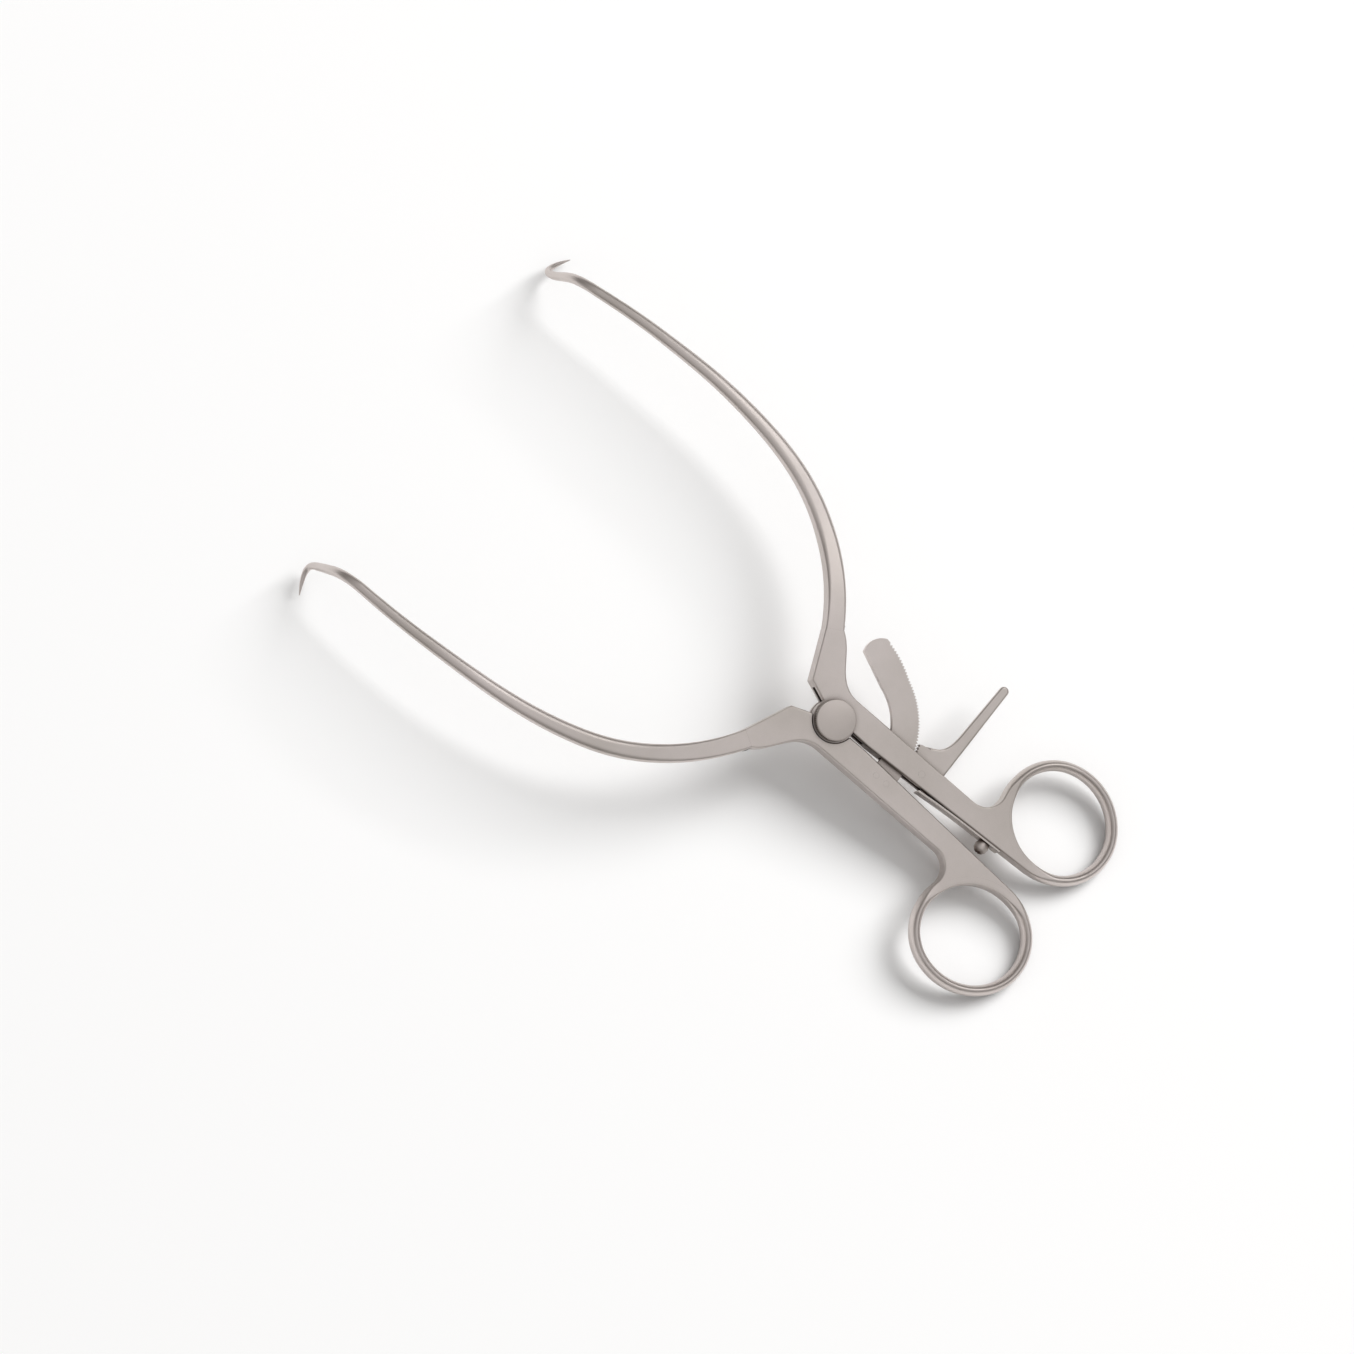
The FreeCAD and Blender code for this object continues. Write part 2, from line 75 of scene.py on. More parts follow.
BLACK = (0.0, 0.0, 0.0, 1.0)
WHITE = (1.0, 1.0, 1.0, 1.0)

Colour = tuple[float, float, float, float]
Triple = tuple[float, float, float]
# Share of the length, width, height and roundness
Sizes = tuple[float, float, float, float]
# Centre, direction, turn, and width, height and corner
Section = tuple[Vector, Vector, Matrix, Triple]


class Slot(Enum):
    """The record's material slots."""

    FORGED = "forged_steel"
    RATCHET = "ratchet_steel"
    SCREW = "screw_steel"
    SPRING = "spring_steel"
    PIN = "pin_steel"


class Wire:
    """A shader socket that takes part in Python arithmetic and adds Math nodes as it goes."""

    def __init__(self, shader: "Shader", socket: bpy.types.NodeSocket) -> None:
        """Wraps a socket.

        Args:
            shader: The shader whose tree holds the socket.
            socket: An output socket that carries one number.
        """
        self.shader = shader
        self.socket = socket

    def _math(self, operation: str, first: "Wire | float", second: "Wire | float") -> "Wire":
        """Adds one Math node.

        Args:
            operation: The node's operation.
            first: Its first value.
            second: Its second value.

        Returns:
            The node's result.
        """
        made = self.shader.node("ShaderNodeMath", {"operation": operation}, {0: first, 1: second})
        return Wire(self.shader, made.outputs[0])

    def __add__(self, other: "Wire | float") -> "Wire":
        """The sum."""
        return self._math("ADD", self, other)

    def __radd__(self, other: float) -> "Wire":
        """The sum, with the number first."""
        return self._math("ADD", other, self)

    def __sub__(self, other: "Wire | float") -> "Wire":
        """The difference."""
        return self._math("SUBTRACT", self, other)

    def __rsub__(self, other: float) -> "Wire":
        """The difference, with the number first."""
        return self._math("SUBTRACT", other, self)

    def __mul__(self, other: "Wire | float") -> "Wire":
        """The product."""
        return self._math("MULTIPLY", self, other)

    def __rmul__(self, other: float) -> "Wire":
        """The product, with the number first."""
        return self._math("MULTIPLY", other, self)


class Shader:
    """The node tree of one material or of the world."""

    def __init__(self, tree: bpy.types.NodeTree) -> None:
        """Empties a node tree.

        Args:
            tree: The tree to build in.
        """
        self.tree = tree
        self.tree.nodes.clear()

    def node(self, kind: str, settings: dict[str, object] | None = None,
             sockets: dict[str | int, object] | None = None) -> bpy.types.Node:
        """Adds one node.

        Args:
            kind: The node's type.
            settings: Its properties; stops are a colour ramp's places and colours.
            sockets: Values or links of its inputs, by name or number.

        Returns:
            The node.
        """
        made = self.tree.nodes.new(kind)
        for name, value in (settings or {}).items():
            if name == "stops":
                ramp = made.color_ramp.elements
                while len(ramp) < len(value):
                    ramp.new(1.0)
                for element, (place, colour) in zip(ramp, value):
                    element.position = place
                    element.color = colour
            else:
                setattr(made, name, value)
        for name, value in (sockets or {}).items():
            value = value.socket if isinstance(value, Wire) else value
            if isinstance(value, bpy.types.NodeSocket):
                self.tree.links.new(value, made.inputs[name])
            else:
                made.inputs[name].default_value = value
        return made

    def place(self) -> bpy.types.NodeSocket:
        """The piece's own coordinates, as a vector socket."""
        return self.node("ShaderNodeTexCoord").outputs["Object"]

    def noise(self, vector: bpy.types.NodeSocket, size: float, detail: float) -> Wire:
        """Soft noise from 0 to 1.

        Args:
            vector: Where it is read.
            size: Size of its grains, in metres.
            detail: Octaves of finer grain.

        Returns:
            The noise value.
        """
        made = self.node("ShaderNodeTexNoise", None, {"Vector": vector, "Scale": 1 / size, "Detail": detail})
        return Wire(self, made.outputs[0])

    def mixed(self, share: Wire | bpy.types.NodeSocket, first: Colour,
              second: Colour | bpy.types.NodeSocket) -> bpy.types.NodeSocket:
        """A colour between two colours.

        Args:
            share: 0 gives the first colour and 1 the second.
            first: A colour.
            second: A colour or a colour socket.

        Returns:
            The mixed colour.
        """
        made = self.node("ShaderNodeMix", {"data_type": "RGBA"}, {0: share, 6: first, 7: second})
        return made.outputs[2]


@dataclass(frozen=True)
class Steel:
    """Satin stainless steel, blasted with fine beads, with painted shade darkening its crevices and gaps;
    sizes in metres.
    """

    name: str
    roughness: float = 0.39
    light: Colour = (0.77, 0.70, 0.68, 1.0)
    dark: Colour = (0.50, 0.455, 0.415, 1.0)
    # Painted shade: near-black brown that the base colour takes in crevices and gaps, as far as ambient
    # occlusion reaches
    painted_crevice_shade: Colour = (0.13, 0.095, 0.08, 1.0)
    painted_shade_reach: float = 0.0035
    painted_shade_stops: tuple[float, float] = (0.25, 0.85)
    painted_shade_samples: int = 8
    drift_size: float = 0.03
    drift_detail: float = 1.0
    cloud_size: float = 0.006
    cloud_detail: float = 3.0
    grain_size: float = 0.00022
    grain_detail: float = 2.0
    drift_share: float = 0.9
    cloud_share: float = 0.4
    grain_share: float = 0.2
    darkening: float = 0.25
    cloud_gloss: float = 0.10
    grain_gloss: float = 0.06
    bump: float = 0.35
    depth: float = 0.000012

    def material(self) -> bpy.types.Material:
        """Builds the material.

        Returns:
            The material.
        """
        made = bpy.data.materials.new(self.name)
        made.use_nodes = True
        shader = Shader(made.node_tree)
        place = shader.place()
        cloud = shader.noise(place, self.cloud_size, self.cloud_detail)
        drift = shader.noise(place, self.drift_size, self.drift_detail)
        grain = shader.noise(place, self.grain_size, self.grain_detail)
        # Painted shade: ambient occlusion darkens the base colour towards the crevice colour in gaps and
        # hollows
        shut, clear = self.painted_shade_stops
        air = shader.node("ShaderNodeAmbientOcclusion", {"samples": self.painted_shade_samples},
                          {"Distance": self.painted_shade_reach})
        unshaded_share = shader.node("ShaderNodeValToRGB", {"stops": [(shut, BLACK), (clear, WHITE)]},
                                 {0: air.outputs["AO"]})
        fine = self.cloud_share * cloud + (self.grain_share * grain - self.darkening)
        metal = shader.mixed(self.drift_share * drift + fine, self.dark, self.light)
        bump = shader.node("ShaderNodeBump", None,
                           {"Height": grain, "Strength": self.bump, "Distance": self.depth})
        grain_roughness = grain * self.grain_gloss + (self.roughness - self.grain_gloss / 2)
        surface = shader.node("ShaderNodeBsdfPrincipled", None, {
            "Base Color": shader.mixed(unshaded_share.outputs[0], self.painted_crevice_shade, metal),
            "Metallic": 1.0,
            "Roughness": (cloud - 0.5) * self.cloud_gloss + grain_roughness,
            "Normal": bump.outputs[0],
        })
        shader.node("ShaderNodeOutputMaterial", None, {"Surface": surface.outputs[0]})
        return made


@dataclass(frozen=True)
class Softbox:
    """A soft square lamp, placed along the camera's axes in metres from the target.

    Its level is the share of a white card's brightness that it gives, and it may stay out of reflections.
    """

    name: str
    right: float
    up: float
    back: float
    size: float
    level: float
    reflected: bool = True


@dataclass(frozen=True)
class Studio:
    """White table, soft lamps and the camera, in metres, with the sensor in millimetres, tilt in degrees."""

    target: Triple = (0.03399, 0.01577, 0.00225)
    right: Triple = (-0.7464, -0.6047, 0.2779)
    up: Triple = (0.6456, -0.7593, 0.0818)
    view_width: float = 0.30465
    distance: float = 3.0
    nearest: float = 0.05
    farthest: float = 60.0
    sensor: float = 36.0
    floor_tilt: float = 10.7
    floor_size: float = 12.0
    floor_colour: Colour = (0.9, 0.9, 0.9, 1.0)
    ring_rest: Triple = (-0.0690, 0.0, -0.0003)
    sky: tuple[tuple[float, Colour], ...] = (
        (0.0, (0.3, 0.29, 0.28, 1.0)), (0.25, (0.22, 0.21, 0.2, 1.0)), (0.7, (0.52, 0.51, 0.5, 1.0)),
        (1.0, WHITE))
    sky_strength: float = 0.8
    softboxes: tuple[Softbox, ...] = (
        Softbox("key_softbox", 3.1, 2.4, 2.3, size=2.6, level=0.88, reflected=False),
        Softbox("side_softbox", 2.4, 2.6, 2.6, size=2.0, level=0.12),
        Softbox("fill_softbox", -2.4, -0.6, 2.4, size=2.0, level=0.03))

    def axes(self) -> tuple[Vector, Vector, Vector]:
        """The camera's axes.

        Returns:
            Its right, up and backward directions.
        """
        right = Vector(self.right).normalized()
        back = right.cross(Vector(self.up)).normalized()
        return right, back.cross(right), back

    def from_camera(self, right: float, up: float, back: float) -> Vector:
        """A point given along the camera's axes, from the target.

        Args:
            right: Metres to the right in the picture.
            up: Metres up in the picture.
            back: Metres towards the camera.

        Returns:
            The point.
        """
        axes = self.axes()
        return Vector(self.target) + axes[0] * right + axes[1] * up + axes[2] * back

    def camera(self) -> None:
        """Places the camera, far away behind a long lens."""
        made = bpy.data.objects.new("camera", bpy.data.cameras.new("camera"))
        bpy.context.scene.collection.objects.link(made)
        right, up, back = self.axes()
        turn = Matrix((right, up, back)).transposed()
        made.matrix_world = Matrix.Translation(self.from_camera(0, 0, self.distance)) @ turn.to_4x4()
        made.data.sensor_width = self.sensor
        made.data.lens = self.sensor * self.distance / self.view_width
        made.data.clip_start = self.nearest
        made.data.clip_end = self.farthest
        bpy.context.scene.camera = made

    def lamp(self, box: Softbox) -> None:
        """Adds a lamp that looks at the object.

        Args:
            box: The lamp's place, size and level.
        """
        light = bpy.data.lights.new(box.name, "AREA")
        where = self.from_camera(box.right, box.up, box.back)
        reach = where - Vector(self.target)
        light.size = box.size
        light.energy = box.level * math.pi ** 2 * reach.length_squared
        made = bpy.data.objects.new(box.name, light)
        bpy.context.scene.collection.objects.link(made)
        made.location = where
        made.visible_glossy = box.reflected
        made.rotation_euler = reach.to_track_quat("Z", "Y").to_euler()

    def world(self) -> None:
        """Sets up soft surroundings: white overhead, greyer round the horizon."""
        world = bpy.data.worlds.new("surroundings")
        bpy.context.scene.world = world
        world.use_nodes = True
        shader = Shader(world.node_tree)
        coordinates = shader.node("ShaderNodeTexCoord")
        parts = shader.node("ShaderNodeSeparateXYZ", None, {0: coordinates.outputs["Generated"]})
        ramp = shader.node("ShaderNodeValToRGB", {"stops": self.sky}, {0: parts.outputs[2]})
        background = shader.node("ShaderNodeBackground", None,
                                 {"Color": ramp.outputs[0], "Strength": self.sky_strength})
        shader.node("ShaderNodeOutputWorld", None, {"Surface": background.outputs[0]})

    def floor(self) -> None:
        """Lays a white table under the rings and the prongs, on which the instrument really stands."""
        bpy.ops.object.select_all(action="DESELECT")
        bpy.ops.mesh.primitive_plane_add(size=self.floor_size, location=self.ring_rest,
                                         rotation=(0, math.radians(self.floor_tilt), 0))
        made = bpy.context.object
        made.name = "table_top"
        material = bpy.data.materials.new("table_white")
        material.use_nodes = True
        shader = Shader(material.node_tree)
        card = shader.node("ShaderNodeBsdfDiffuse", None, {"Color": self.floor_colour})
        shader.node("ShaderNodeOutputMaterial", None, {"Surface": card.outputs[0]})
        made.data.materials.append(material)

    def build(self) -> None:
        """Sets up table, surroundings, lamps and camera."""
        bpy.context.scene.view_settings.view_transform = "Standard"
        self.world()
        self.floor()
        for box in self.softboxes:
            self.lamp(box)
        self.camera()


def select_alone(piece: bpy.types.Object) -> None:
    """Selects one piece alone and makes it the active one.

    Args:
        piece: The piece.
    """
    bpy.ops.object.select_all(action="DESELECT")
    piece.select_set(True)
    bpy.context.view_layer.objects.active = piece


@contextmanager
def editing(piece: bpy.types.Object) -> Iterator[None]:
    """Edit mode on one piece alone, for a with block.

    Args:
        piece: The piece to work on.

    Returns:
        The context of the with block, which holds nothing.
    """
    select_alone(piece)
    bpy.ops.object.mode_set(mode="EDIT")
    yield
    bpy.ops.object.mode_set(mode="OBJECT")


def choose_points(piece: bpy.types.Object, test: Callable[[Vector], bool]) -> None:
    """Selects points of a piece in edit mode, with the edges and faces between them.

    Args:
        piece: The piece.
        test: Tells from a point's place whether it is selected.
    """
    mesh = bmesh.from_edit_mesh(piece.data)
    for face in mesh.faces:
        face.select = False
    for edge in mesh.edges:
        edge.select = False
    for vertex in mesh.verts:
        vertex.select = test(vertex.co)
    mesh.select_mode = {"VERT"}
    mesh.select_flush_mode()
    bmesh.update_edit_mesh(piece.data)


def choose_faces(piece: bpy.types.Object, test: Callable[[bmesh.types.BMFace], bool]) -> None:
    """Selects faces of a piece in edit mode.

    Args:
        piece: The piece.
        test: Tells whether a face is selected.
    """
    mesh = bmesh.from_edit_mesh(piece.data)
    for face in mesh.faces:
        face.select = False
    for edge in mesh.edges:
        edge.select = False
    for vertex in mesh.verts:
        vertex.select = False
    for face in mesh.faces:
        if test(face):
            face.select_set(True)
    bmesh.update_edit_mesh(piece.data)


def choose_edges(piece: bpy.types.Object, test: Callable[[bmesh.types.BMEdge], bool]) -> None:
    """Selects edges of a piece in edit mode.

    Args:
        piece: The piece.
        test: Tells whether an edge is selected.
    """
    mesh = bmesh.from_edit_mesh(piece.data)
    mesh.select_mode = {"EDGE"}
    for edge in mesh.edges:
        edge.select_set(False)
    for edge in mesh.edges:
        if test(edge):
            edge.select_set(True)
    bmesh.update_edit_mesh(piece.data)


def fresh(name: str) -> bpy.types.Object:
    """Names the primitive just added and moves its place into its mesh.

    Args:
        name: Its name.

    Returns:
        The primitive.
    """
    piece = bpy.context.object
    piece.name = piece.data.name = name
    bpy.ops.object.transform_apply(location=True, rotation=True, scale=True)
    return piece


def copied(node: str, name: str) -> bpy.types.Object:
    """A copy of a CAD node with its own mesh, its loose triangles merged.

    Args:
        node: The CAD node.
        name: The copy's name.

    Returns:
        The copy.
    """
    source = frame["nodes"][node]
    piece = bpy.data.objects.new(name, source.data.copy())
    bpy.context.scene.collection.objects.link(piece)
    with editing(piece):
        bpy.ops.mesh.select_all(action="SELECT")
        bpy.ops.mesh.customdata_custom_splitnormals_clear()
        bpy.ops.mesh.remove_doubles(threshold=MERGE_REACH * MM)
    return piece


def break_edges(piece: bpy.types.Object, width: float, segments: int, angle: float) -> None:
    """Breaks the sharp edges of a piece.

    Args:
        piece: The piece.
        width: Width of the broken edge in millimetres.
        segments: Steps of the round.
        angle: Edges sharper than this many degrees are broken.
    """
    select_alone(piece)
    bevel = piece.modifiers.new("broken_edge", "BEVEL")
    bevel.width = width * MM
    bevel.segments = segments
    bevel.limit_method = "ANGLE"
    bevel.angle_limit = math.radians(angle)
    bpy.ops.object.modifier_apply(modifier=bevel.name)


def shade(piece: bpy.types.Object, smooth: float) -> None:
    """Shades a piece smooth, with its flats kept flat.

    Args:
        piece: The piece.
        smooth: Edges sharper than this many degrees stay sharp.
    """
    select_alone(piece)
    bpy.ops.object.shade_smooth_by_angle(angle=math.radians(smooth))
    weighted = piece.modifiers.new("flat_faces", "WEIGHTED_NORMAL")
    weighted.keep_sharp = True
    weighted.weight = FLAT_WEIGHT
    bpy.ops.object.modifier_apply(modifier=weighted.name)


def joined(pieces: list[bpy.types.Object]) -> bpy.types.Object:
    """Joins several pieces.

    Args:
        pieces: The pieces.

    Returns:
        The first of them, which now holds them all.
    """
    bpy.ops.object.select_all(action="DESELECT")
    for piece in pieces:
        piece.select_set(True)
    bpy.context.view_layer.objects.active = pieces[0]
    bpy.ops.object.join()
    return pieces[0]


def shape_section(place: Vector, turn: Matrix, width: float, height: float, corner: float) -> None:
    """Shapes the square just added, in edit mode, into a rounded section and opens it.

    Args:
        place: Its centre, in millimetres.
        turn: Its axes: across, up and against its line.
        width: Its width in millimetres.
        height: Its height in millimetres.
        corner: Share of the sides that each corner's round takes, up to half.
    """
    bpy.ops.mesh.bevel(offset=corner * MM, segments=SECTION_CORNER_STEPS, affect="VERTICES",
                       clamp_overlap=False)
    bpy.ops.transform.resize(value=(width, height, 1), center_override=place * MM, orient_type="GLOBAL",
                             orient_matrix=turn, orient_matrix_type="GLOBAL")
    bpy.ops.mesh.delete(type="ONLY_FACE")


def bridge_sections(piece: bpy.types.Object, sections: list[tuple[Vector, Vector, float]]) -> None:
    """Bridges two sections of a piece in edit mode.

    Args:
        piece: The piece.
        sections: Centre, direction and reach of each of the two, in millimetres.
    """
    choose_points(piece, lambda point: any(
        abs((point / MM - at).dot(normal)) < SECTION_FLATNESS and (point / MM - at).length < reach
        for at, normal, reach in sections))
    bpy.ops.mesh.bridge_edge_loops()


def swept(name: str, sections: Iterator[Section], closed: bool) -> bpy.types.Object:
    """Makes a forged length through a row of sections.

    Args:
        name: The piece's name.
        sections: The sections in their order.
        closed: Whether the last section joins the first.

    Returns:
        The piece.
    """
    piece = None
    first = None
    before = None
    for place, along, turn, (width, height, corner) in sections:
        if piece is None:
            bpy.ops.object.select_all(action="DESELECT")
        bpy.ops.mesh.primitive_plane_add(size=MM, location=place * MM, rotation=turn.to_euler())
        if piece is None:
            piece = fresh(name)
            bpy.ops.object.mode_set(mode="EDIT")
            bpy.ops.mesh.select_all(action="SELECT")
        shape_section(place, turn, width, height, corner)
        now = (place.copy(), along.copy(), math.hypot(width, height) / 2 + SECTION_MARGIN)
        if before is not None:
            bridge_sections(piece, [before, now])
        first = first or now
        before = now
    if closed:
        bridge_sections(piece, [before, first])
    else:
        bpy.ops.mesh.select_all(action="SELECT")
        bpy.ops.mesh.fill_holes(sides=0)
    bpy.ops.mesh.select_all(action="SELECT")
    bpy.ops.mesh.normals_make_consistent(inside=False)
    bpy.ops.object.mode_set(mode="OBJECT")
    return piece


def polar(radius: float, degrees: float) -> Vector:
    """A point of the plan at a distance and direction."""
    return Vector((radius * math.cos(math.radians(degrees)), radius * math.sin(math.radians(degrees)), 0))


@dataclass
class FingerRing:
    """Oval finger ring of four arcs, on the +Y side, in millimetres and degrees.

    The half widths long and short are those of the line through the middle of its section. The end arcs'
    centres are shifted along the oval, and the side arcs' across it, by a share of the excess of long over
    short, and with these two shares the arcs meet smoothly. A point of the CAD node is the ring's own when
    its squared distance from that line, in half sections, is within skin. Between the two angles of web the
    section is flat like the plate, and the plate's own wall of the opening is set back behind it.
    """

    centre: Vector = field(default_factory=lambda: Vector((-55.5, 16.6, 2.25)))
    long: float = 13.4
    short: float = 12.4
    end_shift: float = 1.5
    side_shift: float = 2.0
    turn: float = 16.0
    width: float = 2.48
    height: float = 5.1
    round_corner: float = 0.5
    skin: tuple[float, float] = (0.9, 1.03)
    web: tuple[float, float] = (-88.0, -22.0)
    web_fade: float = 34.0
    web_height: float = 4.46
    web_corner: float = 0.13
    wall_reach: float = 0.06
    set_back: float = 1.04
    steps: int = 30

    def arcs(self) -> list[tuple[Vector, float, float, float]]:
        """The oval's arcs.

        Returns:
            Centre, radius, first angle and sweep of each arc.
        """
        spare = self.long - self.short
        along, across = self.end_shift * spare, self.side_shift * spare
        tight = math.degrees(math.atan2(across, along))
        made = []
        for end in (self.turn, self.turn + 180):
            tip, flank = self.centre + polar(along, end), self.centre + polar(across, end - 90)
            made.append((tip, self.long - along, end - tight, 2 * tight))
            made.append((flank, self.short + across, end + tight, 180 - 2 * tight))
        return made

    def outside_line(self, point: Vector) -> float:
        """How far a point lies outside the line through the middle of the ring's section.

        Args:
            point: The point, in metres.

        Returns:
            The distance in plan, in millimetres; less than 0 on the opening's side.
        """
        for centre, radius, first, sweep in self.arcs():
            across = (point / MM - centre).xy
            if (math.degrees(math.atan2(across.y, across.x)) - first) % 360 <= sweep:
                return across.length - radius
        return math.inf

    def holds(self, point: Vector) -> bool:
        """Tells whether a point lies on the skin of the ring.

        Args:
            point: The point, in metres.

        Returns:
            Whether it does.
        """
        off = self.outside_line(point) / (self.width / 2)
        up = (point.z / MM - self.centre.z) / (self.height / 2)
        return self.skin[0] < off * off + up * up < self.skin[1]

    def lines_opening(self, point: Vector) -> bool:
        """Whether a point of the plate, in metres, lies on the wall of the ring's opening."""
        return abs(self.outside_line(point) + self.width / 2) < self.wall_reach

    def web_share(self, angle: float) -> float:
        """How much the section at an angle is the web's.

        Args:
            angle: The angle round the ring.

        Returns:
            1 along the web and 0 round the rest, with a smooth step between.
        """
        off = abs((angle - sum(self.web) / 2 + 180) % 360 - 180) - (self.web[1] - self.web[0]) / 2
        share = min(max(1 - off / self.web_fade, 0.0), 1.0)
        return share * share * (3 - 2 * share)

    def sections(self) -> Iterator[Section]:
        """Works out the sections round the ring.

        Returns:
            The sections in their order.
        """
        for centre, radius, first, sweep in self.arcs():
            count = round(self.steps * sweep / 90)
            for step in range(count):
                angle = first + sweep * step / count
                outward = polar(1.0, angle)
                up = Vector((0, 0, 1))
                share = self.web_share(angle)
                sizes = (self.width, self.height + share * (self.web_height - self.height),
                         self.round_corner + share * (self.web_corner - self.round_corner))
                yield (centre + outward * radius, up.cross(outward),
                       Matrix((outward, up, outward.cross(up))).transposed(), sizes)

    def build(self) -> bpy.types.Object:
        """Builds the ring, oval in section and flat where the web runs onto it."""
        return swept("finger_ring", self.sections(), True)


@dataclass
class BowedArm:
    """Bowed arm with its hook and prong, on the +Y side, in millimetres.

    The bow and the hook are smooth lines drawn by control points. Their sizes are share of the length,
    width, height and how round the section is, from 0 for square to 1 for an oval.
    """

    bow: list[Triple] = field(default_factory=lambda: [
        (12.8, 16.2, 2.25), (17.6, 24.4, 2.25), (28.9, 34.9, -0.25), (42.9, 40.8, -0.85),
        (57.0, 43.6, -3.55), (69.1, 44.6, -4.95), (79.2, 44.8, -7.55), (90.8, 44.9, -10.45),
        (100.5, 44.1, -13.55)])
    hook: list[Triple] = field(default_factory=lambda: [
        (100.5, 44.1, -13.55), (105.0, 43.9, -15.05), (107.6, 44.0, -20.75), (108.8, 43.4, -27.45),
        (111.46, 44.3, -31.15), (107.6, 50.39, -31.65)])
    bow_sizes: list[Sizes] = field(default_factory=lambda: [
        (0.0, 4.44, 4.44, 0.21), (0.10, 4.3, 4.3, 0.35), (0.25, 4.15, 3.8, 0.60), (0.45, 3.75, 3.3, 0.80),
        (0.65, 3.25, 2.9, 0.92), (0.85, 2.7, 2.4, 0.96), (1.0, 2.4, 2.3, 0.96)])
    hook_sizes: list[Sizes] = field(default_factory=lambda: [
        (0.0, 2.4, 2.3, 0.96), (0.35, 2.2, 2.2, 0.96), (0.60, 1.9, 1.9, 0.96), (0.75, 1.5, 1.5, 0.96),
        (0.88, 1.05, 1.05, 0.96), (1.0, 0.2, 0.2, 0.96)])
    bow_stations: int = 44
    hook_stations: int = 40
    fine_steps: int = 600
    overlap: float = 0.4

    def start(self) -> tuple[Vector, Vector]:
        """Where the arm leaves the neck.

        Returns:
            Its first point and its direction there.
        """
        first, second = Vector(self.bow[0]), Vector(self.bow[1])
        return first, (second - first).normalized()

    def line(self, points: list[Triple], stations: int) -> list[tuple[Vector, Vector, float]]:
        """Even stations of the smooth line that control points draw.

        Args:
            points: The control points; the line meets the first and the last.
            stations: Number of steps.

        Returns:
            Place, direction and share of the length at each station.
        """
        # A cubic spline of this many spans, clamped at both ends, read at fine steps
        spans = len(points) - 3
        knots = [0] * 3 + list(range(spans + 1)) + [spans] * 3
        places = []
        for step in range(self.fine_steps + 1):
            t = step / self.fine_steps * spans
            span = min(int(t), spans - 1) + 3
            work = [Vector(points[span - 3 + index]) for index in range(4)]
            for level in range(1, 4):
                for index in range(3, level - 1, -1):
                    low, high = knots[span - 3 + index], knots[span + 1 + index - level]
                    work[index] = work[index - 1].lerp(work[index], (t - low) / (high - low))
            places.append(work[3])
        lengths = [0.0]
        for one, two in zip(places, places[1:]):
            lengths.append(lengths[-1] + (two - one).length)
        made = []
        for station in range(stations + 1):
            share = station / stations
            index = min(range(len(places)), key=lambda i: abs(lengths[i] - share * lengths[-1]))
            near = places[min(index + 1, self.fine_steps)] - places[max(index - 1, 0)]
            made.append((places[index], near.normalized(), share))
        return made

    def sections(self) -> Iterator[Section]:
        """Works out the sections from the neck to the tip.

        Returns:
            The sections in their order.
        """
        side = None
        for points, sizes, stations in ((self.bow, self.bow_sizes, self.bow_stations),
                                        (self.hook, self.hook_sizes, self.hook_stations)):
            for place, along, share in self.line(points, stations):
                if share == 0 and side is not None:
                    continue
                if side is None:
                    side = along.cross(Vector((0, 0, 1)))
                    place = place - along * self.overlap
                side = (side - along * side.dot(along)).normalized()
                turn = Matrix((side, side.cross(along), -along)).transposed()
                low, high = next((a, b) for a, b in zip(sizes, sizes[1:]) if share <= b[0])
                part = (share - low[0]) / (high[0] - low[0])
                width, height, rounding = (a + part * (b - a) for a, b in zip(low[1:], high[1:]))
                yield place, along, turn, (width, height, rounding / 2)

    def build(self) -> bpy.types.Object:
        """Builds the arm, flat-sided at the neck and round towards the prong."""
        return swept("bowed_arm", self.sections(), False)


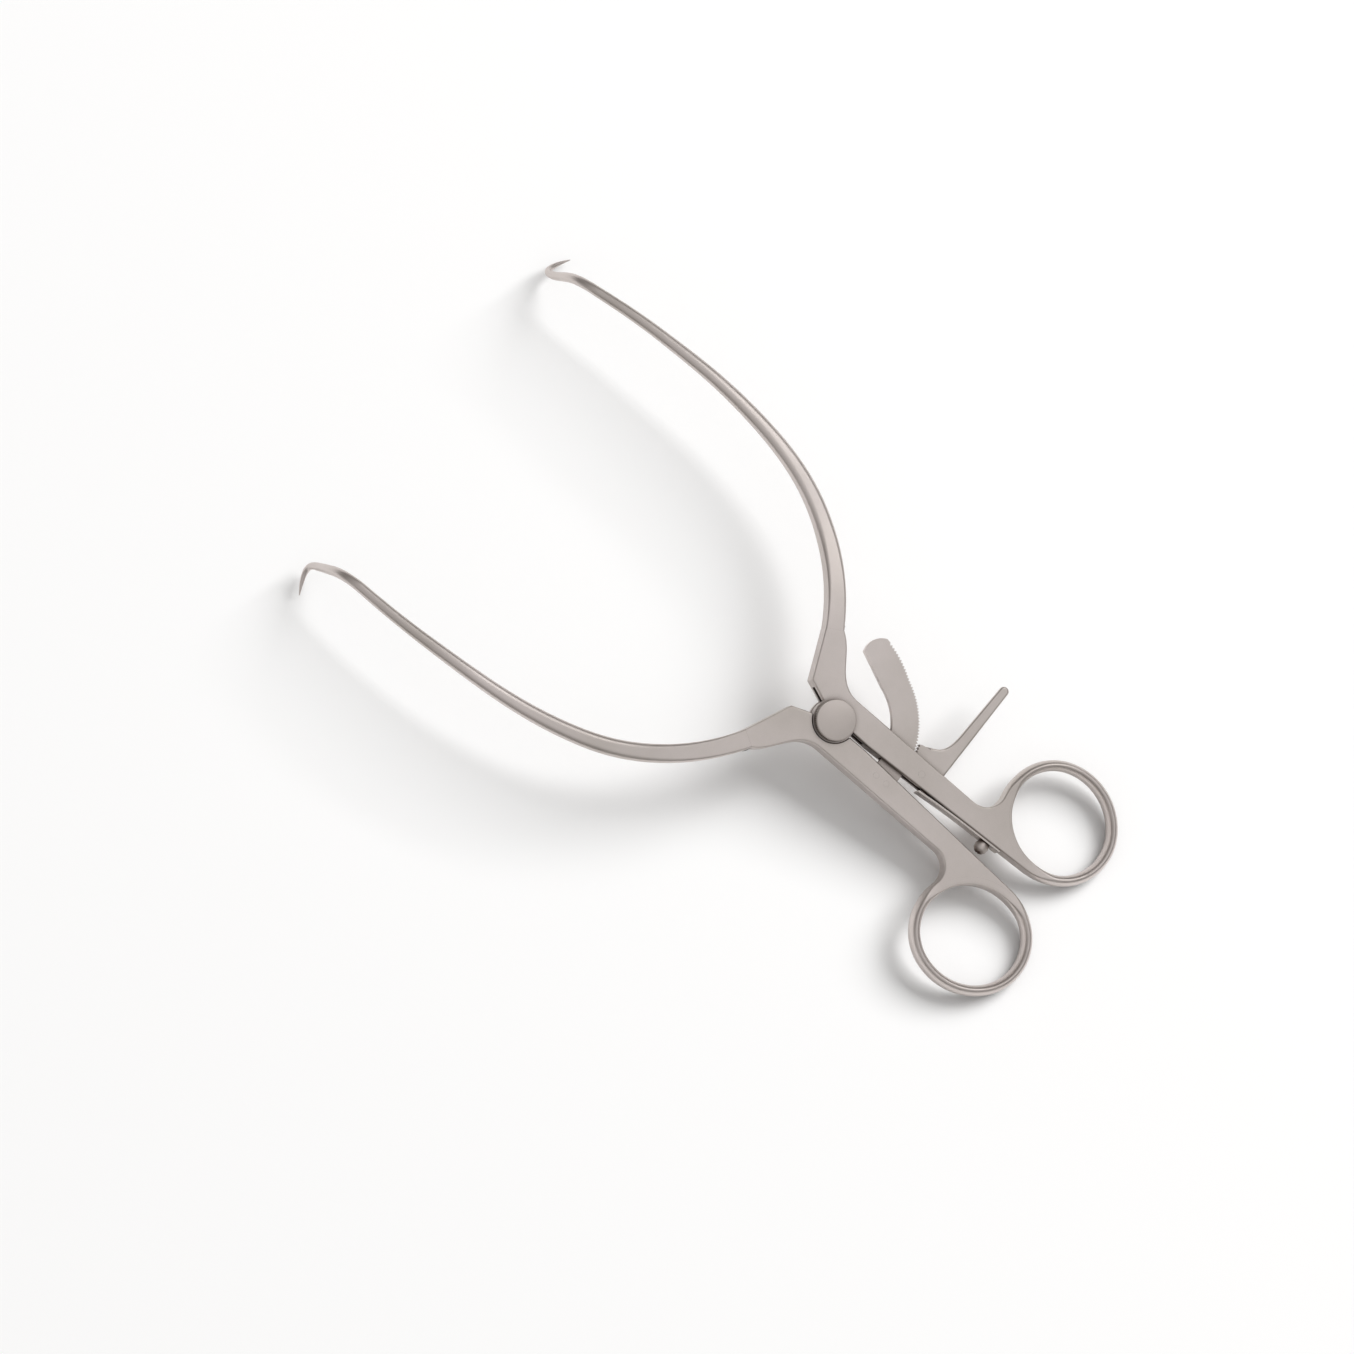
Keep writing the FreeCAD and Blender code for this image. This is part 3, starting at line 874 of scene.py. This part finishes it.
@dataclass
class ForgedHalf:
    """One forged half: plate with its joint, finger ring and bowed arm, in millimetres and degrees.

    A face of the CAD node is the arm's when it starts at the neck's end, within at_neck, and reaches past it
    by more than past_neck.
    """

    node: str
    body: str
    name: str
    mirrored: bool
    ring: FingerRing = field(default_factory=FingerRing)
    arm: BowedArm = field(default_factory=BowedArm)
    at_neck: float = 0.001
    past_neck: float = 0.01
    flat_within: float = 0.3
    smooth: float = 32.0

    def over(self, point: Vector) -> Vector:
        """A point of this half, brought to the +Y side, or back from it."""
        return Vector((point.x, -point.y if self.mirrored else point.y, point.z))

    def is_remade(self, face: bmesh.types.BMFace) -> bool:
        """Tells whether a face is one of the faceted ones of arm or ring, which are made anew.

        Args:
            face: A face of the plate.

        Returns:
            Whether it is.
        """
        start, along = self.arm.start()
        points = [self.over(vertex.co) for vertex in face.verts]
        past = [(point / MM - start).dot(along) for point in points]
        outside = points[0].y > start.y / 2 * MM
        on_arm = outside and min(past) > -self.at_neck and max(past) > self.past_neck
        return on_arm or all(self.ring.holds(point) for point in points)

    def flip(self, piece: bpy.types.Object) -> None:
        """Mirrors a piece over the centre plane and turns its faces out again.

        Args:
            piece: The piece.
        """
        with editing(piece):
            bpy.ops.mesh.select_all(action="SELECT")
            bpy.ops.transform.resize(value=(1, -1, 1), center_override=(0, 0, 0))
            bpy.ops.mesh.normals_make_consistent(inside=False)

    def build(self) -> bpy.types.Object:
        """Builds the half.

        Returns:
            The half.
        """
        plate = copied(self.node, self.name)
        with editing(plate):
            choose_faces(plate, self.is_remade)
            bpy.ops.mesh.delete(type="FACE")
            choose_points(plate, lambda point: self.ring.lines_opening(self.over(point)))
            bpy.ops.transform.resize(value=(self.ring.set_back, self.ring.set_back, 1),
                                     center_override=self.over(self.ring.centre) * MM)
            bpy.ops.mesh.select_all(action="SELECT")
            bpy.ops.mesh.dissolve_limited(angle_limit=math.radians(self.flat_within))
        ring = self.ring.build()
        arm = self.arm.build()
        if self.mirrored:
            self.flip(ring)
            self.flip(arm)
        half = joined([plate, ring, arm])
        shade(half, self.smooth)
        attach(half, self.body)
        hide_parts(self.node)
        return half


@dataclass
class PivotScrew:
    """Pivot screw with a domed head and a finely knurled rim, in millimetres and degrees."""

    node: str = "pivot_screw"
    body: str = "screw"
    name: str = "knurled_pivot_screw"
    shank: float = 2.2
    seat: float = 4.55
    head: float = 4.75
    rim: float = 1.6
    dome: float = 0.3
    rim_round: float = 0.22
    knurls: int = 72
    knurl_depth: float = 0.13
    knurl_land: float = 0.03
    near_rim: float = 0.05
    dome_steps: int = 10
    smooth: float = 25.0

    def is_flute(self, face: bmesh.types.BMFace) -> bool:
        """Tells whether a face of the rim is one of every other one that is pressed in.

        Args:
            face: A face of the screw.

        Returns:
            Whether it is.
        """
        within = face.calc_center_median().xy.length < (self.head - self.near_rim) * MM
        if within or abs(face.normal.z) > UPRIGHT:
            return False
        facet = math.degrees(math.atan2(face.normal.y, face.normal.x)) * self.knurls / 180 - 0.5
        return round(facet) % 2 == 0

    def build(self) -> bpy.types.Object:
        """Turns head, dome and shank out of a drum and cuts the knurl.

        Returns:
            The screw.
        """
        bpy.ops.object.select_all(action="DESELECT")
        inner = self.head - self.rim_round
        middle = (0, 0, (self.seat + self.rim / 2) * MM)
        top = (0, 0, (self.seat + self.rim) * MM)
        bpy.ops.mesh.primitive_cylinder_add(vertices=2 * self.knurls, radius=self.head * MM,
                                            depth=self.rim * MM, location=middle)
        piece = fresh(self.name)
        knurl_share = 1 - self.knurl_depth / self.head
        sphere = (inner ** 2 + self.dome ** 2) / (2 * self.dome)
        with editing(piece):
            choose_faces(piece, lambda face: face.normal.z > LEVEL)
            bpy.ops.mesh.inset(thickness=self.rim_round * MM)
            bpy.ops.mesh.extrude_region_move()
            reach = inner
            height = 0.0
            for step in range(1, self.dome_steps):
                radius = inner * (1 - step / self.dome_steps)
                rise = self.dome - sphere + math.sqrt(sphere ** 2 - radius ** 2)
                bpy.ops.mesh.inset(thickness=(reach - radius) * MM)
                bpy.ops.transform.translate(value=(0, 0, (rise - height) * MM))
                reach = radius
                height = rise
            choose_faces(piece, lambda face: face.normal.z < -LEVEL)
            bpy.ops.mesh.inset(thickness=self.rim_round * MM)
            bpy.ops.mesh.inset(thickness=(inner - self.shank) * MM)
            bpy.ops.mesh.extrude_region_move(TRANSFORM_OT_translate={"value": (0, 0, -self.seat * MM)})
            choose_points(piece, lambda point: point.xy.length > (self.head - self.near_rim) * MM)
            bpy.ops.transform.resize(value=(1, 1, 1 - 2 * self.rim_round / self.rim), center_override=middle)
            choose_faces(piece, self.is_flute)
            bpy.ops.mesh.inset(thickness=self.knurl_land * MM, use_individual=True)
            bpy.ops.transform.resize(value=(knurl_share, knurl_share, 1), center_override=top)
            bpy.ops.mesh.select_all(action="SELECT")
            bpy.ops.mesh.remove_doubles(threshold=MERGE_REACH * MM)
            bpy.ops.mesh.normals_make_consistent(inside=False)
        shade(piece, self.smooth)
        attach(piece, self.body)
        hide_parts(self.node)
        return piece


class Carrier(Enum):
    """What a small fitting moves with."""

    FORK = "fork_half"
    TONGUE = "tongue_half"
    LEVER = "lever"
    BENDING = "fork_half to lever"


@dataclass
class Fitting:
    """A small piece, true to its CAD node, with its edges broken and shaded smooth, in millimetres and
    degrees.

    Past the plan lines of soft_beyond, if given, its outline is rounded wide. The roots of its teeth, which
    lie at least root_depth inside the tips, are filed deeper by a share of their distance from the axis.
    """

    node: str
    name: str
    carrier: Carrier
    edge: float = 0.06
    edge_steps: int = 2
    edge_angle: float = 35.0
    flat_within: float = 0.5
    smooth: float = 30.0
    soft_beyond: tuple[float, float] | None = None
    soft_edge: float = 0.5
    soft_steps: int = 5
    deeper_roots: float = 0.0
    root_depth: float = 0.2
    same_level: float = 0.01

    def soften(self, piece: bpy.types.Object) -> None:
        """Rounds the outline beyond the plan lines wide, above and below, in edit mode.

        Args:
            piece: The piece.
        """
        x_limit, y_limit = (limit * MM for limit in self.soft_beyond)
        choose_edges(piece, lambda edge: len(edge.link_faces) == 2
                     and all(vertex.co.x < x_limit and vertex.co.y < y_limit for vertex in edge.verts)
                     and any(abs(face.normal.z) > LEVEL for face in edge.link_faces)
                     and any(abs(face.normal.z) < UPRIGHT for face in edge.link_faces))
        bpy.ops.mesh.bevel(offset=self.soft_edge * MM, segments=self.soft_steps, affect="EDGES",
                           clamp_overlap=False)

    def deepen(self, piece: bpy.types.Object) -> None:
        """Files the roots between the teeth deeper towards the pivot axis, in edit mode.

        Args:
            piece: The piece.
        """
        mesh = bmesh.from_edit_mesh(piece.data)
        roots = set()
        for vertex in mesh.verts:
            place = vertex.co
            joined_to = [edge.other_vert(vertex).co for edge in vertex.link_edges]
            beside = [co.xy.length for co in joined_to if abs(co.z - place.z) < self.same_level * MM]
            if len(beside) == 2 and min(beside) > place.xy.length + self.root_depth * MM:
                roots.add(tuple(place))
        choose_points(piece, lambda point: tuple(point) in roots)
        log.info("%s: %d root corners", piece.name, len(roots))
        kept = 1 - self.deeper_roots
        bpy.ops.transform.resize(value=(kept, kept, 1), center_override=(0, 0, 0))

    def build(self) -> bpy.types.Object:
        """Copies the node, clears its flats and breaks its edges.

        Returns:
            The piece.
        """
        piece = copied(self.node, self.name)
        with editing(piece):
            bpy.ops.mesh.select_all(action="SELECT")
            bpy.ops.mesh.dissolve_limited(angle_limit=math.radians(self.flat_within))
            if self.soft_beyond is not None:
                self.soften(piece)
            if self.deeper_roots:
                self.deepen(piece)
        break_edges(piece, self.edge, self.edge_steps, self.edge_angle)
        shade(piece, self.smooth)
        if self.carrier is Carrier.BENDING:
            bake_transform(piece)
        else:
            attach(piece, self.carrier.value)
        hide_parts(self.node)
        return piece


Maker = ForgedHalf | PivotScrew | Fitting


@dataclass
class Retractor:
    """The whole instrument."""

    finishes: dict[Slot, Steel] = field(default_factory=lambda: {
        Slot.FORGED: Steel("blasted_forging"),
        Slot.RATCHET: Steel("blasted_ratchet", roughness=0.33),
        Slot.SCREW: Steel("turned_screw", roughness=0.48),
        Slot.SPRING: Steel("spring_strip", roughness=0.28),
        Slot.PIN: Steel("ground_pin", roughness=0.3),
    })
    makers: list[Maker] = field(default_factory=lambda: [
        ForgedHalf("tongue_arm", "tongue_half", "tongue_forging", mirrored=False),
        ForgedHalf("fork_arm", "fork_half", "fork_forging", mirrored=True),
        PivotScrew(),
        Fitting("ratchet_bar", "ratchet_bar_toothed", Carrier.TONGUE, edge=0.04, edge_steps=1,
                deeper_roots=0.006),
        Fitting("release_lever", "release_lever_thumb", Carrier.LEVER, soft_beyond=(-21.5, -6.4)),
        Fitting("leaf_spring", "leaf_spring_strip", Carrier.BENDING, edge=0.05),
        Fitting("spring_screw", "spring_screw_round_head", Carrier.FORK, edge=0.05, smooth=50.0),
        Fitting("lever_pin", "lever_pin_flush", Carrier.FORK, edge=0.03),
        Fitting("ratchet_rivet_front", "ratchet_rivet_front_flush", Carrier.TONGUE, edge=0.03),
        Fitting("ratchet_rivet_rear", "ratchet_rivet_rear_flush", Carrier.TONGUE, edge=0.03),
    ])

    def build(self) -> None:
        """Builds and dresses every piece."""
        materials = {slot.value: finish.material() for slot, finish in self.finishes.items()}
        slots = {part["node"]: part["material_slot"] for part in frame["record"]["subparts"]}
        for maker in self.makers:
            piece = maker.build()
            slot = slots[maker.node]
            piece.data.materials.clear()
            piece.data.materials.append(materials[slot])
            log.info("%s: %d faces, %s", piece.name, len(piece.data.polygons), slot)


def main() -> None:
    """Builds the studio and the instrument."""
    logging.basicConfig(level=logging.INFO, format="%(message)s")
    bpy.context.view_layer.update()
    Studio().build()
    Retractor().build()


if __name__ == "__main__":
    main()
